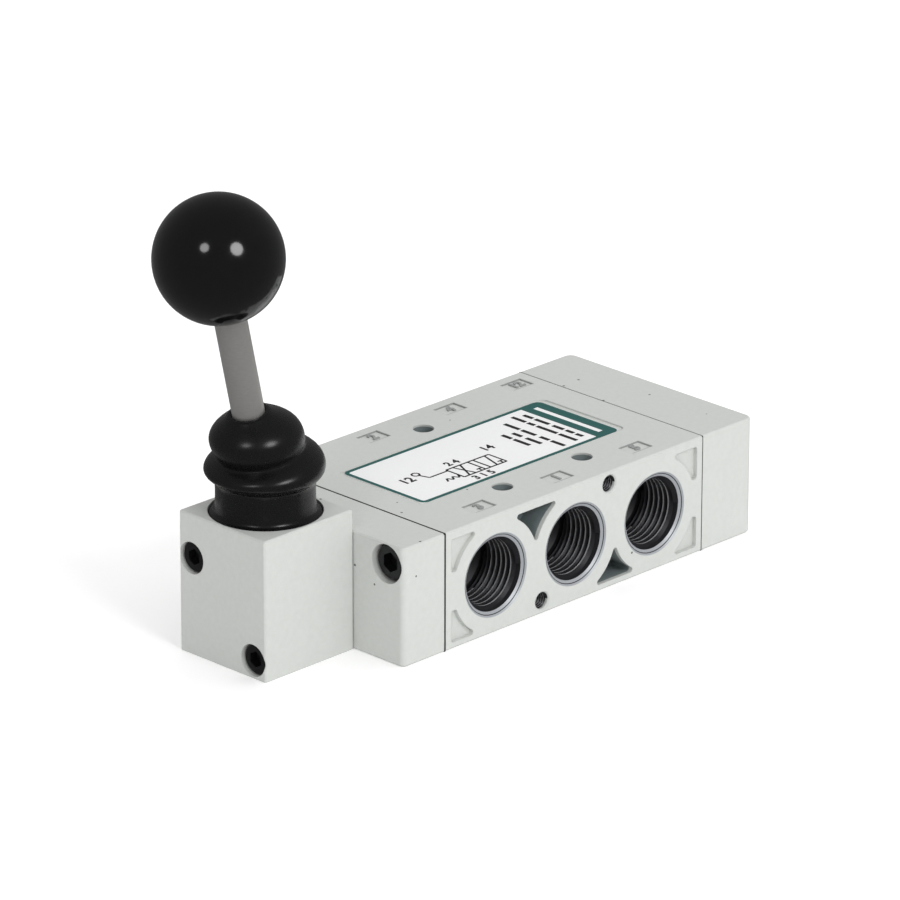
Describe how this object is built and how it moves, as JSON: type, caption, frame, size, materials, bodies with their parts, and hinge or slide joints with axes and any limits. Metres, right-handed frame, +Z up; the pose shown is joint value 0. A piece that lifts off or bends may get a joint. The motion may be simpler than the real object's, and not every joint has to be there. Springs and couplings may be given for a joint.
{
  "type": "hand lever air valve",
  "caption": "Five-port, two-position spool valve for compressed air, with a spring-return ball-knob hand lever under a rubber boot.",
  "frame": {"origin": "on the base, under the middle of the body", "axes": "+X along the body away from the lever, -Y out of the three-port face, +Z up"},
  "size_m": [0.187, 0.07, 0.1323],
  "materials": {
    "body_paint": "pale grey-green satin enamel over die-cast aluminium",
    "gasket": "matte black",
    "black_oxide": "black oxide, slightly oily",
    "sleeve_aluminium": "hard-anodised, honed bore",
    "seal_rubber": "matte nitrile",
    "spool_steel": "ground",
    "spring_steel": "drawn wire and blued strip",
    "bronze": "sintered bronze",
    "zinc_steel": "zinc plated",
    "rod_stainless": "satin turned",
    "knob_phenolic": "polished black phenolic",
    "insert_brass": "turned",
    "boot_rubber": "satin black",
    "label_film": "printed film, satin"
  },
  "bodies": {
    "housing_and_body": {"valve_body": "body_paint", "end_cap": "body_paint", "operator_adapter": "body_paint", "lever_housing": "body_paint", "end_cap_gasket": "gasket", "adapter_gasket": "gasket", "housing_gasket": "gasket", "end_cap_screws": "black_oxide", "adapter_screws": "black_oxide", "housing_screws": "black_oxide", "valve_sleeve": "sleeve_aluminium", "sleeve_seals": "seal_rubber", "spring_seat": "spool_steel", "return_spring": "spring_steel", "stem_bush": "bronze", "stem_seal": "seal_rubber", "spool_bumper": "seal_rubber", "lever_carrier": "zinc_steel", "carrier_ring": "spring_steel", "pivot_pin": "spool_steel", "boot": "boot_rubber", "label_plate": "label_film"},
    "lever": {"lever_hub": "zinc_steel", "lever_rod": "rod_stainless", "ball_knob": "knob_phenolic", "knob_insert": "insert_brass"},
    "spool_train": {"spool": "spool_steel", "stem": "spool_steel", "yoke": "spool_steel"}
  },
  "joints": [
    {"name": "lever_tilt", "type": "hinge", "parent": "housing_and_body", "child": "lever", "pos_m": [-0.0825, 0, 0.0425], "axis": [0, 1, 0], "range_deg": [0, 25.2], "stiffness_Nm_per_rad": 0.5, "springref_deg": -11.46, "deforming": ["boot"]},
    {"name": "spool_slide", "type": "slide", "parent": "housing_and_body", "child": "spool_train", "axis": [1, 0, 0], "range_m": [-0.0099, 0], "deforming": ["return_spring"]}
  ],
  "couplings": [
    {"joint": "spool_slide", "follows": "lever_tilt", "m_per_rad": -0.02232}
  ]
}
